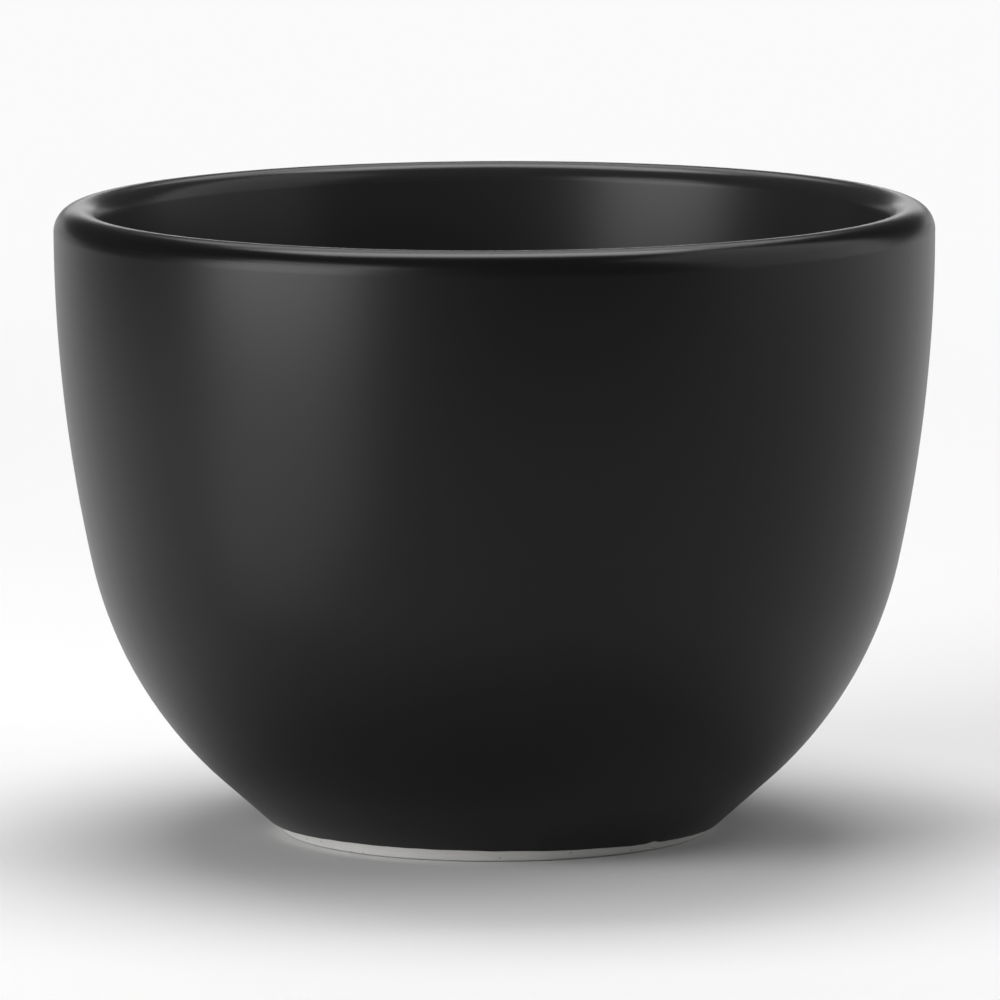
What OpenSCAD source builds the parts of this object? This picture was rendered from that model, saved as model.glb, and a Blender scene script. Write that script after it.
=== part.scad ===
// Bouillon cup: a round stoneware cup without a handle, glazed inside and out, on a bare turned foot.
// Millimetres, +Z up. The origin is the centre of the foot, on the surface that the cup stands on.
// Every profile is half of the cup's section, [radius, height], and is turned about Z.
// The outside, the inside and the well are each a chain of arcs and straight runs that touch smoothly.
// An arc's angles are those of the line out from its centre: 90 is up, 0 is away from the axis, -90 down.

/* [Outside] */
// Widest outer diameter, where the lip's round begins
mouth_d = 98; // [92:0.5:106]
// Overall height, from the table to the crest of the lip
cup_h = 70; // [62:0.5:80]
// Diameter of the foot, where the lower wall's straight slope would meet the table
foot_d = 48; // [43:0.5:52]
// Radius of the long, gentle curve of the upper wall
wall_r = 174; // [150:1:210]
// Radius of the belly, between the upper wall and the straight slope
belly_r = 45.4; // [40:0.2:50]
// Slope of the straight lower wall, in degrees from upright
foot_slope = 47; // [42:0.5:52]

/* [Lip and inside] */
// Radius of the lip's round on the outside
lip_r = 2.7; // [2:0.1:3]
// Radius of the lip's round on the inside
lip_in_r = 2.4; // [2:0.1:3]
// Lean of the straight inner wall, in degrees from upright
inner_lean = 7; // [4:0.5:10]
// Radius of the bowl, where the inner wall turns into the floor
bowl_r = 30; // [22:0.5:36]
// Thickness of the floor at the middle, glaze included
floor_t = 4.8; // [3.5:0.1:7]

/* [Foot ring] */
// Width of the foot ring, from the foot's corner to the well's corner
ring_w = 4.8; // [3.5:0.1:7]
// Depth of the well under the cup
well_depth = 2.5; // [2:0.1:4]
// Slope of the well's wall, in degrees from upright
well_slope = 30; // [15:1:40]
// Radius between the well's wall and its ceiling
well_fillet = 1; // [0.5:0.1:1.5]
// Radius on both edges of the foot ring
ring_edge_r = 0.8; // [0.4:0.1:1]

/* [Glaze] */
// Thickness of the glaze coats
glaze_t = 0.3; // [0.2:0.05:0.5]
// Thickness that the coats thin down to at their lower edges
hem_t = 0.12; // [0.06:0.02:0.18]
// Height of the wiped, bare band above the table, on both sides of the foot ring
bare_h = 1.4; // [1:0.1:1.8]
// Hair gap under each coat, which keeps its curved faces from crossing those of the clay
coat_gap = 0.01; // [0.01:0.01:0.04]

/* [Hidden] */
// Turned faces are taken as round
$fn = 180;
// How far a chord may stand off the arc that it replaces
chord_tol = 0.005;
// Chords in the small quarter round that ends a coat
hem_steps = 4;
clay_colour = [0.78, 0.77, 0.74];
glaze_colour = [0.10, 0.10, 0.10];

mouth_r = mouth_d / 2;
foot_r = foot_d / 2;
well_r = foot_r - ring_w;
floor_z = well_depth + floor_t;
coat_depth = glaze_t - coat_gap;

// Directions along each bare face, up from the table, and out of the clay
foot_up = [sin(foot_slope), cos(foot_slope)];
foot_out = [cos(foot_slope), -sin(foot_slope)];
well_up = [-sin(well_slope), cos(well_slope)];
well_out = [-cos(well_slope), -sin(well_slope)];
foot_corner = [foot_r, 0];
well_corner = [well_r, 0];

// Centres of the two rounds of the lip, which meet at its crest, and of the upper wall
lip_centre = [mouth_r - lip_r, cup_h - lip_r];
inner_lip_centre = [mouth_r - lip_r, cup_h - lip_in_r];
wall_centre = [mouth_r - wall_r, cup_h - lip_r];

// The belly touches the straight slope of the clay, and the upper wall from inside. Its centre lies on a
// line parallel to the slope, as far from the wall's centre as the two radii differ.
belly_line = foot_corner - (belly_r - glaze_t) * foot_out - wall_centre;
belly_run = belly_line * foot_up;
slope_l = sqrt(belly_run ^ 2 - belly_line * belly_line + (wall_r - belly_r) ^ 2) - belly_run;
belly_centre = wall_centre + belly_line + slope_l * foot_up;
wall_end = atan2(belly_centre.y - wall_centre.y, belly_centre.x - wall_centre.x);

// The inner wall leans straight down and in from the end of the lip's inner round.
// The bowl touches it, and the floor from above.
inner_in = [-cos(inner_lean), sin(inner_lean)];
inner_down = [-sin(inner_lean), -cos(inner_lean)];
lip_end = inner_lip_centre + lip_in_r * inner_in;
inner_run = (lip_end.y + bowl_r * inner_in.y - floor_z - bowl_r) / cos(inner_lean);
bowl_centre = lip_end + bowl_r * inner_in + inner_run * inner_down;

// Radii, from the axis, of the flat ring that the cup stands on, between its two rounded edges
ring_outer_r = foot_r - ring_edge_r * tan((90 - foot_slope) / 2);
ring_inner_r = well_r + ring_edge_r * tan((90 - well_slope) / 2);

// The well's fillet touches the bare wall of the well and the ceiling, under the coat of both
fillet_r = well_fillet + glaze_t;
fillet_run = (well_depth - well_fillet + fillet_r * sin(well_slope)) / cos(well_slope);
fillet_centre = well_corner + fillet_run * well_up + fillet_r * well_out;

// Points along an arc, with chords short enough for the tolerance
function arc(centre, r, from, to) =
    let (steps = ceil(abs(to - from) / (2 * acos(1 - chord_tol / r))))
    [for (i = [0 : steps]) let (a = from + (to - from) * i / steps) centre + r * [cos(a), sin(a)]];

// A list without its first point, for a chain whose next arc starts where the last one ends
function rest(points) = [for (i = [1 : 1 : len(points) - 1]) points[i]];

function reversed(points) = [for (i = [len(points) - 1 : -1 : 0]) points[i]];

// Outside from the lip's crest to the top of the straight slope, at a depth under the finished surface
function outside(depth) = concat(
    arc(lip_centre, lip_r - depth, 90, 0),
    rest(arc(wall_centre, wall_r - depth, 0, wall_end)),
    rest(arc(belly_centre, belly_r - depth, wall_end, -foot_slope)));

// Inside from the lip's crest to the middle of the floor, at a depth under the finished surface
function inside(depth) = concat(
    arc(inner_lip_centre, lip_in_r - depth, 90, 180 - inner_lean),
    arc(bowl_centre, bowl_r + depth, -inner_lean, -90),
    [[0, floor_z - depth]]);

// Well from the end of its wall to the middle of its ceiling, at a depth under the finished surface
function well(depth) = concat(
    arc(fillet_centre, well_fillet + depth, well_slope, 90),
    [[0, well_depth + depth]]);

// Foot ring from the outer slope, across the table, to the well's wall, with both edges rounded
function foot_ring() = concat(
    arc([ring_outer_r, ring_edge_r], ring_edge_r, -foot_slope, -90),
    arc([ring_inner_r, ring_edge_r], ring_edge_r, -90, well_slope - 180));

// Quarter round at the lower edge of a coat, from its outer face down to the bare clay at the glaze line
function hem(corner, up, out) =
    let (line = corner + bare_h / up.y * up + coat_gap * out)
    [for (i = [0 : hem_steps])
        let (a = 90 * i / hem_steps) line + hem_t * ((1 - sin(a)) * up + cos(a) * out)];

// Fired stoneware: wall, floor and foot ring in one
module clay_body() {
    color(clay_colour)
        rotate_extrude()
            polygon(concat(outside(glaze_t), foot_ring(), well(glaze_t), reversed(rest(inside(glaze_t)))));
}

// Coat on the outside, from the crest of the lip to the glaze line above the foot
module outer_glaze() {
    color(glaze_colour)
        rotate_extrude()
            polygon(concat(outside(0), hem(foot_corner, foot_up, foot_out), reversed(outside(coat_depth))));
}

// Coat on the inside, from the crest of the lip to the middle of the floor
module liner_glaze() {
    color(glaze_colour)
        rotate_extrude()
            polygon(concat(inside(0), reversed(inside(coat_depth))));
}

// Coat in the well under the cup, down to the wiped ring
module well_glaze() {
    color(glaze_colour)
        rotate_extrude()
            polygon(concat(reversed(well(0)), hem(well_corner, well_up, well_out), well(coat_depth)));
}

clay_body();
outer_glaze();
liner_glaze();
well_glaze();
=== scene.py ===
import math

import bpy
import numpy as np
from mathutils import Matrix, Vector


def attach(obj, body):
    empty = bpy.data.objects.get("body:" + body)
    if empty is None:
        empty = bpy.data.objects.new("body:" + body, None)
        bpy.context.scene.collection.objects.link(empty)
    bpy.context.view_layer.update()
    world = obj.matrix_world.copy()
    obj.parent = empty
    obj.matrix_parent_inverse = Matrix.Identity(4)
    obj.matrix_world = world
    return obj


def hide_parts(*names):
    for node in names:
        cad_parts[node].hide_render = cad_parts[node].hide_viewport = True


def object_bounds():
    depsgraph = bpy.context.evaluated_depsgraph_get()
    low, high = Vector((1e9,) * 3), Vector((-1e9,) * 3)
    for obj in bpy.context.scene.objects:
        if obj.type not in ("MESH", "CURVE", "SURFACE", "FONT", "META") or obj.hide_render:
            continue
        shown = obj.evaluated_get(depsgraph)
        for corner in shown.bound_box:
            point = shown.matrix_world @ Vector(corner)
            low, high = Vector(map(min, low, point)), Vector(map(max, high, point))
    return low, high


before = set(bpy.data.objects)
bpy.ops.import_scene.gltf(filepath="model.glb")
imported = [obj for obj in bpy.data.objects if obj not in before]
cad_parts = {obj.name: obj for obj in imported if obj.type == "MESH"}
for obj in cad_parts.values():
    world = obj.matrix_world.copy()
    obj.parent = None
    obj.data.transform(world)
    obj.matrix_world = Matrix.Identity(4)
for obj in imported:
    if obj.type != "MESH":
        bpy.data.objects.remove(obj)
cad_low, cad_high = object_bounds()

MM = 0.001

# Outside
mouth_r = cad_high.x / MM
cup_h = cad_high.z / MM
foot_r = 24.0
wall_r = 174.0
belly_r = 45.4
foot_slope = 47.0

# Lip and inside
lip_r = 2.7
lip_in_r = 2.4
inner_lean = 7.0
bowl_r = 30.0
floor_t = 4.8

# Foot ring, and the well under the cup
ring_w = 4.8
well_depth = 2.5
well_slope = 30.0
well_fillet = 1.0
ring_edge_r = 0.8

# Glaze coats: their thickness, at the hem too, and the hair gap that keeps their faces off the clay's
glaze_t = 0.3
hem_t = 0.12
coat_gap = 0.01
coat_depth = glaze_t - coat_gap

# Outer glaze line: its mean height, and its tilt and two-fold wave, each with a height and its peak's angle
line_h = 1.1
line_tilt = (0.34, -33)
line_wave = (0.15, -18)
# A nick in that line, right of the front: its angle, its half width in degrees and its height
nick_at, nick_half, nick_h = 43, 1.6, 0.32
# Mean height of the glaze line inside the well
well_line_h = 1.4
# Fine ripple of both lines: its height, and how many folds each of its waves has
ripple_h = 0.03
ripple_folds = np.arange(5, 60, 3)

# Spokes round the axis, from the front (-Y) towards the right (+X)
spoke_count = 512
spokes = np.radians(np.arange(0, 360, 360 / spoke_count))
# Points along the curves of a section, and the angle past which an edge stays sharp
lip_steps, curve_steps, round_steps = 26, 26, 9
sharp_edge = math.radians(40)


def heading(degrees):
    """Unit vector at an angle in the section."""
    return np.array([math.cos(math.radians(degrees)), math.sin(math.radians(degrees))])


def arc(centre, radius, start, end, steps, eased=False):
    """Points of a circle: centre + radius * (cos a, sin a). The angle a goes from start to end in even
    steps s, or, where eased, by (1 - cos(pi s)) / 2, whose steps are shorter towards both ends."""
    s = np.linspace(0, 1, steps)
    if eased:
        s = (1 - np.cos(np.pi * s)) / 2
    a = np.radians(start + (end - start) * s)
    return centre + radius * np.stack([np.cos(a), np.sin(a)], axis=-1)


def chain(*runs):
    """Runs of points end to end, each without its first point where the run before ends there."""
    kept = [runs[0]]
    for run in runs[1:]:
        kept.append(run[1:] if np.allclose(kept[-1][-1], run[0]) else run)
    return np.concatenate(kept)


# Directions along each bare face, up from the table, and out of the clay
foot_out, foot_up = heading(-foot_slope), heading(90 - foot_slope)
well_out, well_up = heading(180 + well_slope), heading(90 + well_slope)
foot_corner = np.array([foot_r, 0])
well_corner = np.array([foot_r - ring_w, 0])

# Centres of the lip's two rounds and of the upper wall
floor_z = well_depth + floor_t
lip_centre = np.array([mouth_r - lip_r, cup_h - lip_r])
inner_lip_centre = np.array([mouth_r - lip_r, cup_h - lip_in_r])
wall_centre = np.array([mouth_r - wall_r, cup_h - lip_r])

# The belly touches the straight slope of the clay, and the upper wall from inside
belly_line = foot_corner - (belly_r - glaze_t) * foot_out - wall_centre
belly_run = belly_line @ foot_up
slope_l = math.sqrt(belly_run ** 2 - belly_line @ belly_line + (wall_r - belly_r) ** 2) - belly_run
belly_centre = wall_centre + belly_line + slope_l * foot_up
wall_end = math.degrees(math.atan2(*(belly_centre - wall_centre)[::-1]))

# The inner wall leans straight down and in from the end of the lip's inner round.
# The bowl touches it, and the floor.
inner_in, inner_down = heading(180 - inner_lean), heading(-90 - inner_lean)
lip_end = inner_lip_centre + lip_in_r * inner_in
inner_run = (lip_end[1] + bowl_r * inner_in[1] - floor_z - bowl_r) / -inner_down[1]
bowl_centre = lip_end + bowl_r * inner_in + inner_run * inner_down

# The well's fillet touches the bare wall of the well and its ceiling, under the coat of both
fillet_r = well_fillet + glaze_t
fillet_run = (well_depth - well_fillet - fillet_r * well_up[0]) / well_up[1]
fillet_centre = well_corner + fillet_run * well_up + fillet_r * well_out


def outside(depth):
    """Outside from the lip's crest to the top of the straight slope, at a depth under the finished surface:
    the lip's round, the upper wall's long arc and the belly's arc."""
    return chain(arc(lip_centre, lip_r - depth, 90, 0, lip_steps, eased=True),
                 arc(wall_centre, wall_r - depth, 0, wall_end, curve_steps),
                 arc(belly_centre, belly_r - depth, wall_end, -foot_slope, curve_steps))


def inside(depth):
    """Inside from the lip's crest to the middle of the floor, at a depth under the finished surface: the
    lip's inner round, the straight wall, the bowl's arc and the flat floor."""
    lip = arc(inner_lip_centre, lip_in_r - depth, 90, 180 - inner_lean, lip_steps, eased=True)
    bowl = arc(bowl_centre, bowl_r + depth, -inner_lean, -90, curve_steps)
    middle = np.array([[0, floor_z - depth]])
    return chain(lip, np.linspace(lip[-1], bowl[0], round_steps), bowl, middle)


def well(depth):
    """Well from the end of its wall to the middle of its ceiling, at a depth under the finished surface:
    the fillet's arc and the flat ceiling."""
    middle = np.array([[0, well_depth + depth]])
    return chain(arc(fillet_centre, well_fillet + depth, well_slope, 90, round_steps), middle)


def foot_ring():
    """Foot ring from the outer slope, across the table, to the well's wall, with an arc at both edges."""
    outer = foot_r - ring_edge_r * math.tan(math.radians(90 - foot_slope) / 2)
    inner = foot_r - ring_w + ring_edge_r * math.tan(math.radians(90 - well_slope) / 2)
    return chain(arc([outer, ring_edge_r], ring_edge_r, -foot_slope, -90, round_steps),
                 arc([inner, ring_edge_r], ring_edge_r, -90, well_slope - 180, round_steps))


def wave(degrees, folds=1):
    """Cosine round the cup with its peak at an angle, and as many peaks as it has folds."""
    return np.cos(folds * (spokes - math.radians(degrees)))


def ripple(seed):
    """Uneven hand-wiped ripple: a sum of waves with chance starts, each divided by the root of its folds."""
    starts = np.random.default_rng(seed).uniform(0, 360, len(ripple_folds))
    waves = [wave(start, folds) / math.sqrt(folds) for folds, start in zip(ripple_folds, starts)]
    return ripple_h * np.sum(waves, axis=0)


def glaze_line():
    """Height of the outer glaze line at each spoke: a mean, a tilt, a two-fold wave, the ripple and one
    nick, which is a bell curve."""
    off = np.degrees(np.angle(np.exp(1j * (spokes - math.radians(nick_at)))))
    nick = nick_h * np.exp(-(off / nick_half) ** 2)
    return (line_h + line_tilt[0] * wave(line_tilt[1]) + line_wave[0] * wave(line_wave[1], 2)
            + ripple(seed=4) + nick)


def all_round(run):
    """The same run of points at every spoke."""
    return np.broadcast_to(run[:, None], (len(run), spoke_count, 2))


def hem(corner, up, out, heights):
    """Quarter round that ends a coat, at each spoke's own height up the bare face. It goes from the coat's
    outer face, where a is 0, down to the clay, where a is 90:
    line + hem_t * ((1 - sin a) * up + cos a * out)."""
    line = corner + heights[:, None] / up[1] * up + coat_gap * out
    a = np.radians(np.linspace(0, 90, round_steps))[:, None, None]
    return line + hem_t * ((1 - np.sin(a)) * up + np.cos(a) * out)


def stand(name, data):
    """New object in the scene, at the origin."""
    thing = bpy.data.objects.new(name, data)
    bpy.context.scene.collection.objects.link(thing)
    return thing


def turned(name, section, ring_shaped=False):
    """Turns a section round the axis: point i at spoke j is (r sin a, -r cos a, z), with r and z from
    section[i, j] and a the spoke's angle, so the seam closes. A ring-shaped piece closes along i too. Any
    other starts and ends on the axis, in one point with a fan of triangles. Sections run clockwise, so that
    faces point outwards."""
    r, z = section[..., 0], section[..., 1]
    points = MM * np.stack([r * np.sin(spokes), -r * np.cos(spokes), z], axis=-1)
    if ring_shaped:
        grid = np.arange(points.shape[0] * spoke_count).reshape(-1, spoke_count)
        here, ahead = grid, np.roll(grid, -1, axis=0)
        vertices, fans = points.reshape(-1, 3), []
    else:
        grid = np.arange((points.shape[0] - 2) * spoke_count).reshape(-1, spoke_count)
        here, ahead = grid[:-1], grid[1:]
        vertices = np.concatenate([points[1:-1].reshape(-1, 3), points[[0, -1], 0]])
        first, last = np.full(spoke_count, grid.size), np.full(spoke_count, grid.size + 1)
        fans = [np.stack([first, grid[0], np.roll(grid[0], -1)], axis=-1),
                np.stack([grid[-1], last, np.roll(grid[-1], -1)], axis=-1)]
    corners = [here, ahead, np.roll(ahead, -1, axis=1), np.roll(here, -1, axis=1)]
    quads = np.stack(corners, axis=-1).reshape(-1, 4)
    mesh = bpy.data.meshes.new(name)
    mesh.from_pydata(vertices.tolist(), [], sum([fan.tolist() for fan in fans], quads.tolist()))
    mesh.shade_smooth()
    mesh.set_sharp_from_angle(angle=sharp_edge)
    return stand(name, mesh)


def dress(piece, node, finish):
    """Sets a piece in the frame: it stands for a CAD node, rides on the cup and takes a finish."""
    piece.data.materials.append(finish)
    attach(piece, "root")
    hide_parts(node)


class Wire:
    """An output of a shader node. Arithmetic on it adds Math nodes to the same recipe."""

    def __init__(self, recipe, socket):
        self.recipe, self.socket = recipe, socket

    def math(self, operation, *values):
        return self.recipe.node("ShaderNodeMath", {"operation": operation}, dict(enumerate(values)))

    def __add__(self, other):
        return self.math("ADD", self, other)

    def __sub__(self, other):
        return self.math("SUBTRACT", self, other)

    def __rsub__(self, other):
        return self.math("SUBTRACT", other, self)

    def __mul__(self, other):
        return self.math("MULTIPLY", self, other)

    __radd__ = __add__
    __rmul__ = __mul__


class Recipe:
    """The node tree of one finish or of the world."""

    def __init__(self, owner):
        owner.use_nodes = True
        self.tree = owner.node_tree
        self.tree.nodes.clear()

    def node(self, kind, settings=None, inputs=None, output=0):
        """Adds a node: its settings, then the number, colour or wire of each input, by name or place."""
        made = self.tree.nodes.new(kind)
        for name, value in (settings or {}).items():
            setattr(made, name, value)
        for name, value in (inputs or {}).items():
            if isinstance(value, Wire):
                self.tree.links.new(value.socket, made.inputs[name])
            else:
                made.inputs[name].default_value = value
        return Wire(self, made.outputs[output]) if made.outputs else made

    def along(self, place, axis):
        """One coordinate of a place or of a direction."""
        return self.node("ShaderNodeSeparateXYZ", inputs={"Vector": place}, output=axis)

    def noise(self, place, scale, detail=2.0, rough=0.5):
        """Cloudy value about 0.5, with a size of about 1 / scale metres."""
        return self.node("ShaderNodeTexNoise", inputs={
            "Vector": place, "Scale": scale, "Detail": detail, "Roughness": rough})

    def dots(self, place, scale, full, gone):
        """Scattered dots, about 1 / scale metres apart: 1 near each middle, 0 past its edge. Full and gone
        are the ends of the soft edge, as shares of that distance."""
        away = self.node("ShaderNodeTexVoronoi", inputs={"Vector": place, "Scale": scale}, output="Distance")
        return 1 - self.step(away, full, gone)

    def step(self, value, low, high):
        """Smooth step from 0 at low to 1 at high."""
        return self.node("ShaderNodeMapRange", {"interpolation_type": "SMOOTHSTEP"}, {
            "Value": value, "From Min": low, "From Max": high})

    def blend(self, share, first, second):
        """Colour between two, by a share from 0 to 1."""
        return self.node("ShaderNodeMix", {"data_type": "RGBA"}, {0: share, 6: first, 7: second}, output=2)

    def bump(self, depth, height):
        """Normal of a relief, whose height counts in depths of so many metres."""
        return self.node("ShaderNodeBump", inputs={"Strength": 1.0, "Distance": depth, "Height": height})

    def finish(self, inputs):
        """Ends the tree in a Principled shader with these inputs."""
        shader = self.node("ShaderNodeBsdfPrincipled", inputs=inputs)
        self.node("ShaderNodeOutputMaterial", inputs={"Surface": shader})


def colour(level, warmth=0.0):
    """A grey of a linear level, a little warmer where warmth is over 0."""
    return (level * (1 + warmth), level, level * (1 - 2 * warmth), 1)


def new_finish(name):
    """New material with its empty recipe, and the place on the piece, in metres, that patterns follow."""
    material = bpy.data.materials.new(name)
    recipe = Recipe(material)
    return material, recipe, recipe.node("ShaderNodeTexCoord", output="Object")


# Glaze: the level of its black outside, and inside, where it is painted lighter as painted light for the
# dimmer inside of the cup; the share by which clouds change it; and its index of refraction
outside_black, inside_black_painted_lighter = 0.0032, 0.015
black_change = 0.15
glaze_ior = 1.28
# Its least roughness on the wall, and how much smoother the lip is, from the height where that starts to the
# height where it is full
glaze_rough, lip_polish = 0.31, 0.11
polish_from, polish_full = 67.4 * MM, 69.0 * MM
# Depth of the orange peel, and how many times deeper the pinholes are
peel_depth, pinhole_depth = 0.002 * MM, 3

# Bare clay: its two tones and its specks, each a level and a warmth, and its wiped edge
clay_tones = colour(0.53, 0.01), colour(0.62, 0.015)
speck_tone = colour(0.16, 0.05)
wiped_tone = colour(0.23)
clay_ior = 1.4
clay_rough = 0.82
# Depth of its grain, and where its wiped edge starts to fade and ends, in millimetres below the glaze line
grain_depth = 0.008 * MM
wiped_full, wiped_gone = 0.1, 0.32


def black_glaze(name, level):
    """Satin black glaze: nearly black, with faint clouds in tone and sheen, a fine orange peel and a few
    pinholes. It is smoother on the lip."""
    material, recipe, place = new_finish(name)
    clouds = recipe.noise(place, scale=60, detail=4)
    grain = recipe.noise(place, scale=2600, detail=2)
    peel = recipe.noise(place, scale=900, detail=1)
    pinholes = recipe.dots(place, scale=140, full=0.006, gone=0.02)
    lip = recipe.step(recipe.along(place, "Z"), polish_from, polish_full)
    recipe.finish({
        "Base Color": recipe.blend(
            clouds, colour((1 - black_change) * level), colour((1 + black_change) * level)),
        "Roughness": glaze_rough + 0.03 * clouds + 0.02 * grain - lip_polish * lip,
        "IOR": glaze_ior,
        "Normal": recipe.bump(peel_depth, peel + 0.3 * grain - pinhole_depth * pinholes)})
    return material


def bare_clay():
    """Bare fired clay: pale and fine-grained, with small dark specks, faint turning lines and a grey edge
    where the glaze was wiped away."""
    material, recipe, place = new_finish("bare_clay")
    clouds = recipe.noise(place, scale=180, detail=4)
    grain = recipe.noise(place, scale=3200, detail=3, rough=0.6)
    specks = recipe.dots(place, scale=700, full=0.08, gone=0.16)
    below = recipe.node("ShaderNodeAttribute", {"attribute_name": "below_glaze"}, output="Fac")
    wiped = 1 - recipe.step(below + 0.25 * grain, wiped_full, wiped_gone)
    specked = recipe.blend(0.45 * specks, recipe.blend(clouds, *clay_tones), speck_tone)
    lines = recipe.node("ShaderNodeTexWave", {"wave_type": "RINGS", "rings_direction": "Z"}, {
        "Vector": place, "Scale": 420, "Distortion": 1.5, "Detail": 2}, output="Fac")
    recipe.finish({
        "Base Color": recipe.blend(0.5 * wiped, specked, wiped_tone),
        "Roughness": clay_rough + 0.1 * clouds - 0.2 * wiped,
        "IOR": clay_ior,
        "Normal": recipe.bump(grain_depth, grain + 0.5 * lines - 0.5 * specks)})
    return material


def mark_wiped_edge(clay, outer_line):
    """Stores on the clay how far each point lies below the outer glaze line, in millimetres, and a large
    value in the well, which the line doesn't reach."""
    points = np.empty(len(clay.data.vertices) * 3, np.float32)
    clay.data.vertices.foreach_get("co", points)
    x, y, z = points.reshape(-1, 3).T / MM
    angle = np.mod(np.arctan2(x, -y), 2 * np.pi)
    line = np.interp(angle, spokes, outer_line, period=2 * np.pi)
    below = np.where(np.hypot(x, y) > foot_r - ring_w / 2, line - z, well_depth)
    mark = clay.data.attributes.new("below_glaze", "FLOAT", "POINT")
    mark.data.foreach_set("value", below.astype(np.float32))


def make_cup():
    """The four pieces of the cup: the clay, and its coats outside, inside and in the well."""
    outer_line, well_line = glaze_line(), well_line_h + ripple(seed=7)
    outer_hem = hem(foot_corner, foot_up, foot_out, outer_line)
    well_hem = hem(well_corner, well_up, well_out, well_line)

    clay = turned("clay_body_bare", all_round(chain(
        inside(glaze_t)[::-1], outside(glaze_t), foot_ring(), well(glaze_t))))
    mark_wiped_edge(clay, outer_line)
    outer = turned("outer_glaze_coat", np.concatenate([
        all_round(outside(0)), outer_hem, all_round(outside(coat_depth)[::-1])]), ring_shaped=True)
    liner = turned("liner_glaze_coat", all_round(chain(inside(0)[::-1], inside(coat_depth))))
    under = turned("well_glaze_coat", np.concatenate([
        all_round(well(coat_depth)[::-1]), well_hem[::-1], all_round(well(0))]))

    outside_finish = black_glaze("satin_glaze_outside", outside_black)
    dress(clay, "clay_body", bare_clay())
    dress(outer, "outer_glaze", outside_finish)
    # The inside's glaze is the same black as outside, painted lighter to stand in for light that reaches
    # less far into the cup
    dress(liner, "liner_glaze", black_glaze("satin_glaze_inside", inside_black_painted_lighter))
    dress(under, "well_glaze", outside_finish)


# Camera at the photograph's angle: far off with a long lens, and turned a little about its own axis
camera_distance = 1133 * MM
camera_lens = 365.38
camera_sensor = 36
camera_elevation = math.radians(7.834)
camera_roll = math.radians(0.2)
camera_aim = np.array([0.522, 0, 36.785]) * MM


def set_place(thing, right, up, back, place):
    """Sets a camera or a lamp at a place, with its own right, up and backward directions."""
    matrix = Matrix.Identity(4)
    for column, vector in enumerate((right, up, back, place)):
        matrix.col[column][:3] = vector
    thing.matrix_world = matrix


def around(azimuth, reach, height):
    """Place round the cup, in metres: azimuth 0 is the camera's side, and grows to the right."""
    a = math.radians(azimuth)
    return np.array([reach * math.sin(a), -reach * math.cos(a), height])


def make_camera():
    """Camera on a line from its aim, up by the elevation and rolled."""
    lens = bpy.data.cameras.new("camera")
    lens.lens, lens.sensor_width = camera_lens, camera_sensor
    lens.clip_start, lens.clip_end = 0.01, 20
    camera = stand("camera", lens)
    bpy.context.scene.camera = camera
    c, s = math.cos(camera_elevation), math.sin(camera_elevation)
    back, level_right, level_up = np.array([0, -c, s]), np.array([1, 0, 0]), np.array([0, s, c])
    turn_c, turn_s = math.cos(camera_roll), math.sin(camera_roll)
    right = turn_c * level_right - turn_s * level_up
    up = turn_s * level_right + turn_c * level_up
    set_place(camera, right, up, back, camera_aim + camera_distance * back)


# Floor of paper just under the foot. Its levels, where 1 is white: at its palest; in front on the left,
# where it is painted darker as painted shade against the key lamp's light; and far behind, where it is an
# even white
floor_r = 3.0
floor_drop = 0.02 * MM
paper_pale, paper_painted_shade, paper_far = 0.73, 0.4, 0.96
# Painted shadow in the paper's colour close round the foot: its level, its share, and how far from the axis
# it starts to fade and ends
painted_shadow_level, painted_shadow_share = 0.15, 0.45
painted_shadow_full, painted_shadow_gone = 30 * MM, 72 * MM


def make_floor():
    """Round floor: points floor_r * (sin a, -cos a) at the spokes' angles a, in a fan about the middle. The
    paper is pale, painted darker in front on the left as painted shade, and darker still close round the
    foot as a painted shadow. Far behind, the camera and the glaze see it as white."""
    rim = floor_r * np.stack([np.sin(spokes), -np.cos(spokes), np.zeros(spoke_count)], axis=-1)
    order = np.arange(spoke_count)
    fan = np.stack([np.full(spoke_count, spoke_count), order, np.roll(order, -1)], axis=-1)
    mesh = bpy.data.meshes.new("floor")
    points = np.concatenate([rim, np.zeros((1, 3))]) - [0, 0, floor_drop]
    mesh.from_pydata(points.tolist(), [], fan.tolist())
    floor = stand("floor", mesh)

    material, recipe, place = new_finish("floor_paper")
    across, deep = recipe.along(place, "X"), recipe.along(place, "Y")
    # Share of pale paper; the rest, in front on the left, is painted shade
    pale = recipe.step(deep + 0.7 * across, -0.36, 0.0) * recipe.step(across, -0.7, -0.2)
    reach = recipe.node("ShaderNodeVectorMath", {"operation": "LENGTH"}, {0: place}, output="Value")
    # Painted shadow: the paper's colour darkens towards the axis, close round the foot
    painted_shadow = painted_shadow_share * (1 - recipe.step(reach, painted_shadow_full, painted_shadow_gone))
    paper_tone = recipe.blend(pale, colour(paper_painted_shade), colour(paper_pale))
    paper = recipe.node("ShaderNodeBsdfPrincipled", inputs={
        "Base Color": recipe.blend(painted_shadow, paper_tone, colour(painted_shadow_level)),
        "Roughness": 0.9,
        "Specular IOR Level": 0.0})
    white = recipe.node("ShaderNodeEmission", inputs={"Color": colour(paper_far), "Strength": 1.0})
    seen, mirrored, seen_through = [
        recipe.node("ShaderNodeLightPath", output=ray)
        for ray in ("Is Camera Ray", "Is Glossy Ray", "Is Transmission Ray")]
    far = recipe.step(deep, 0.1, 0.6) * recipe.step(across + 0.4 * deep, -0.6, -0.2)
    surface = recipe.node("ShaderNodeMixShader", inputs={
        0: far * (seen + mirrored + seen_through), 1: paper, 2: white})
    recipe.node("ShaderNodeOutputMaterial", inputs={"Surface": surface})
    mesh.materials.append(material)


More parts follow.
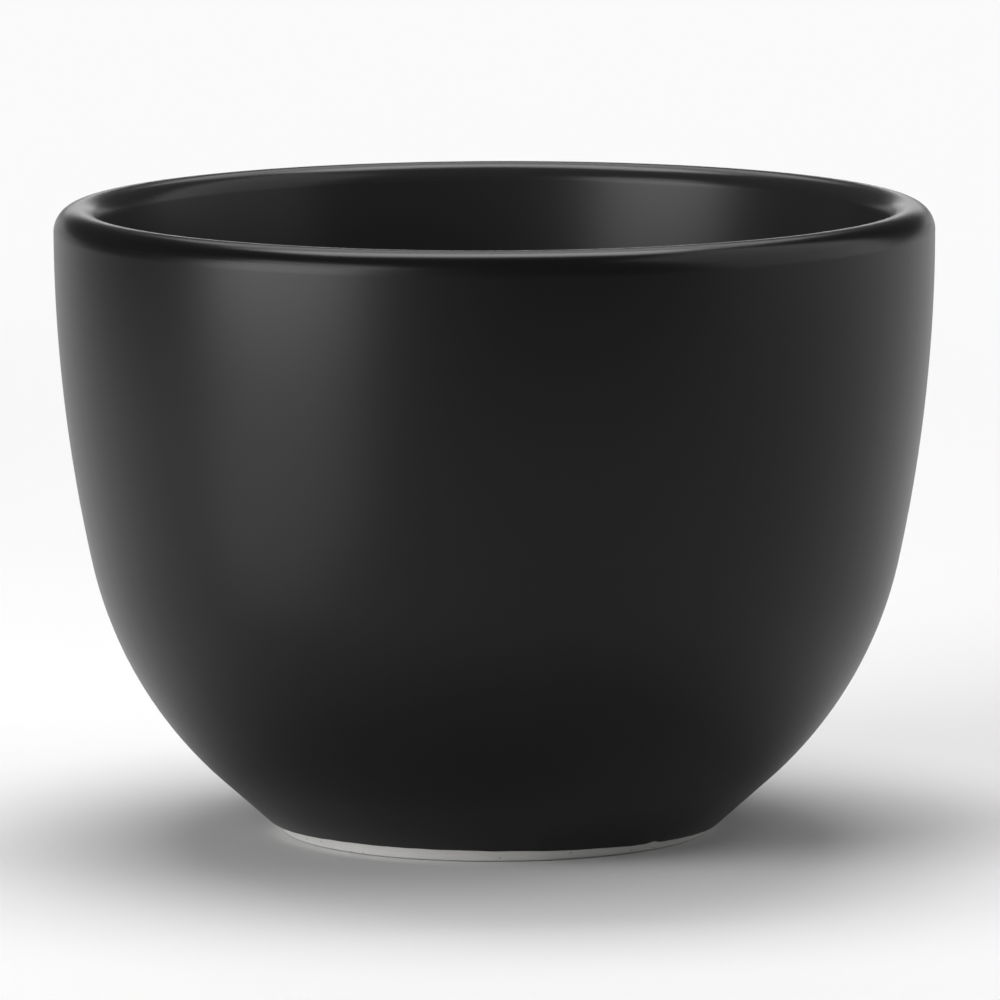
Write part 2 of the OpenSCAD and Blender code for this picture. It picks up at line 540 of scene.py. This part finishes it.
# Room light, as levels where 1 is white: all round, added on the camera's side and low on the right, and in
# a low arch behind, whose middle is dimmer at the floor and brighter above it
room_level = 0.07
front_level = 0.1
side_level = 0.32
arch_level = 0.6
middle_less, middle_more = 0.35, 2.3


def make_world():
    """Room light by direction: a dim room, lighter in front and on the right, with a pale arch behind."""
    world = bpy.data.worlds.new("studio")
    bpy.context.scene.world = world
    recipe = Recipe(world)
    way = recipe.node("ShaderNodeTexCoord", output="Generated")
    right, deep, high = [recipe.along(way, axis) for axis in "XYZ"]
    arch = 1 - recipe.step(high + 0.5 * (1 - deep), 0.14, 0.2)
    middle = recipe.step(deep, 0.968, 0.988)
    middle_level = middle_more * recipe.step(high, 0.06, 0.13) - middle_less
    behind = arch * (arch_level + middle * middle_level)
    rightward = recipe.step(right, 0.1, 0.6) * (1 - recipe.step(high, 0.05, 0.42))
    beside = side_level * rightward * recipe.step(deep, -0.1, 0.3) * (1 - recipe.step(deep, 0.5, 0.85))
    front = front_level * recipe.step(0 - deep, 0.1, 0.6)
    light = recipe.node("ShaderNodeBackground", inputs={
        "Color": colour(1.0), "Strength": room_level + behind + beside + front})
    recipe.node("ShaderNodeOutputWorld", inputs={"Surface": light})


def softbox(name, place, target, width, height, level, shape="RECTANGLE"):
    """Area lamp at a place, which faces a target and glows at a level, where 1 is white. An ellipse has
    pi / 4 of the area of its rectangle. The camera doesn't see the lamp."""
    lamp = bpy.data.lights.new(name, "AREA")
    lamp.shape, lamp.size, lamp.size_y = shape, width, height
    area = width * height * (math.pi / 4 if shape == "ELLIPSE" else 1)
    lamp.energy = level * math.pi * area
    box = stand(name, lamp)
    box.visible_camera = False
    back = np.array(place, float) - target
    back /= np.linalg.norm(back)
    right = np.array([-place[1], place[0], 0]) / math.hypot(place[0], place[1])
    set_place(box, right, np.cross(back, right), back, place)


def make_lamps():
    """Six soft lamps: a key on the left and one above it, a low panel on the floor between them and the cup,
    a large one above and a little behind, one over the floor behind, and a fill on the right."""
    cup_middle = np.array([0, 0, cup_h / 2 * MM])
    panel_place, back_place = around(-52, 0.2, 0.001), around(180, 1.05, 0.95)
    up = np.array([0, 0, 1])
    softbox("key_softbox", around(-54, 0.42, 0.125), [0, 0, 0.125], width=0.31, height=0.25, level=8.4)
    softbox("key_top", around(-49, 0.42, 0.32), [0, 0, 0.2], width=0.31, height=0.14, level=5.4)
    softbox("low_panel", panel_place, panel_place + up, width=0.14, height=0.2, level=1.4, shape="ELLIPSE")
    softbox("top_softbox", around(187, 0.4, 1.14), cup_middle, width=0.86, height=0.46, level=8.0)
    softbox("back_softbox", back_place, back_place - up, width=0.8, height=0.9, level=1.8)
    softbox("fill_softbox", around(90, 0.6, 0.55), [0, 0, 0.4], width=0.85, height=1.08, level=1.5)


make_cup()
make_camera()
make_floor()
make_world()
make_lamps()
bpy.context.scene.view_settings.view_transform = "Standard"
